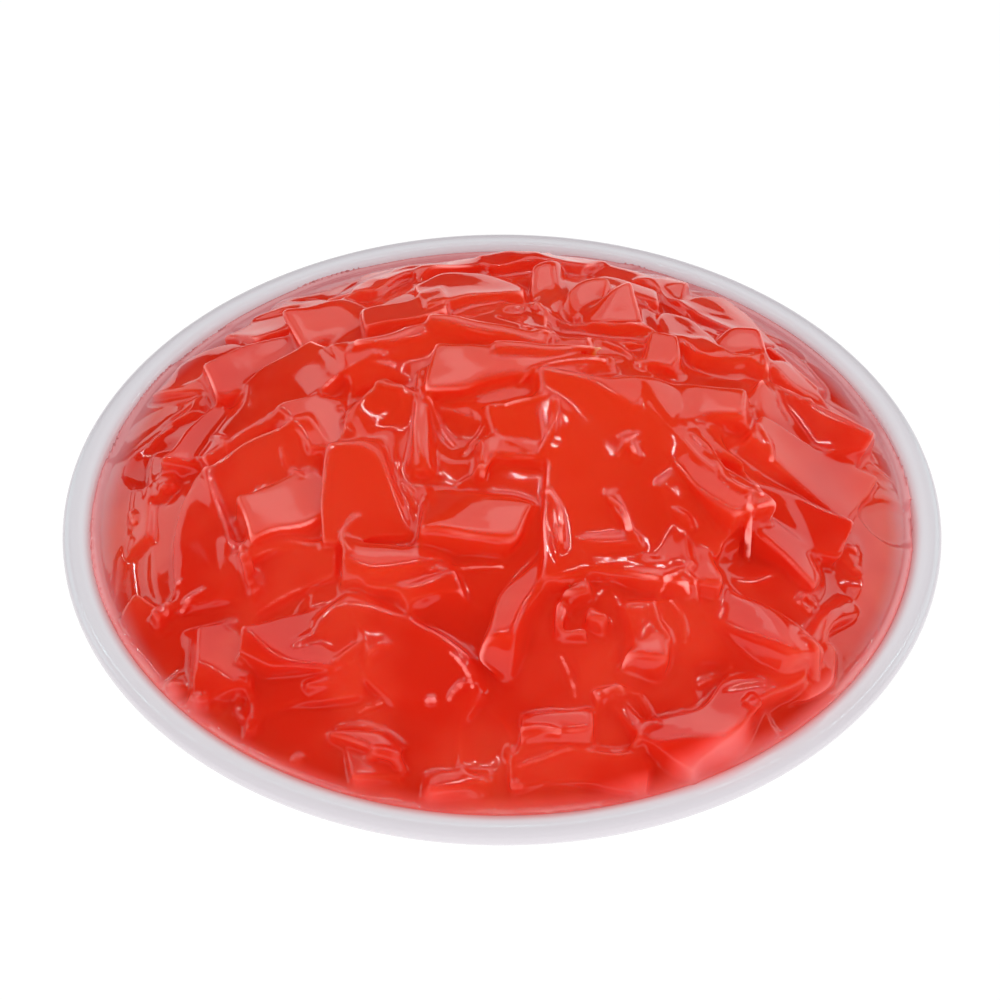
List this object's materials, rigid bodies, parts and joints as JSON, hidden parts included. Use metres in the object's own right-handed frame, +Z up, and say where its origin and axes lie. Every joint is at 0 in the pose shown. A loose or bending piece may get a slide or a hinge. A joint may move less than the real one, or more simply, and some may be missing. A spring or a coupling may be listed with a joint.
{
  "type": "dish of chopped fruit jelly",
  "caption": "Shallow flared round white dish heaped with a mound of broken pieces of clear red jelly, served as a cold dessert.",
  "frame": {"origin": "centre of the foot ring on the surface the dish stands on", "axes": "+Z up; +X to the viewer's right and +Y to the back when seen from the front of the heap"},
  "size_m": [0.11, 0.11, 0.044],
  "materials": {
    "porcelain": "smooth clear glaze over white porcelain",
    "jelly": "wet, clear red gelatine jelly with broken, rounded edges"
  },
  "bodies": {
    "root": {"dish": "porcelain", "jelly_heap": "jelly"}
  },
  "joints": []
}
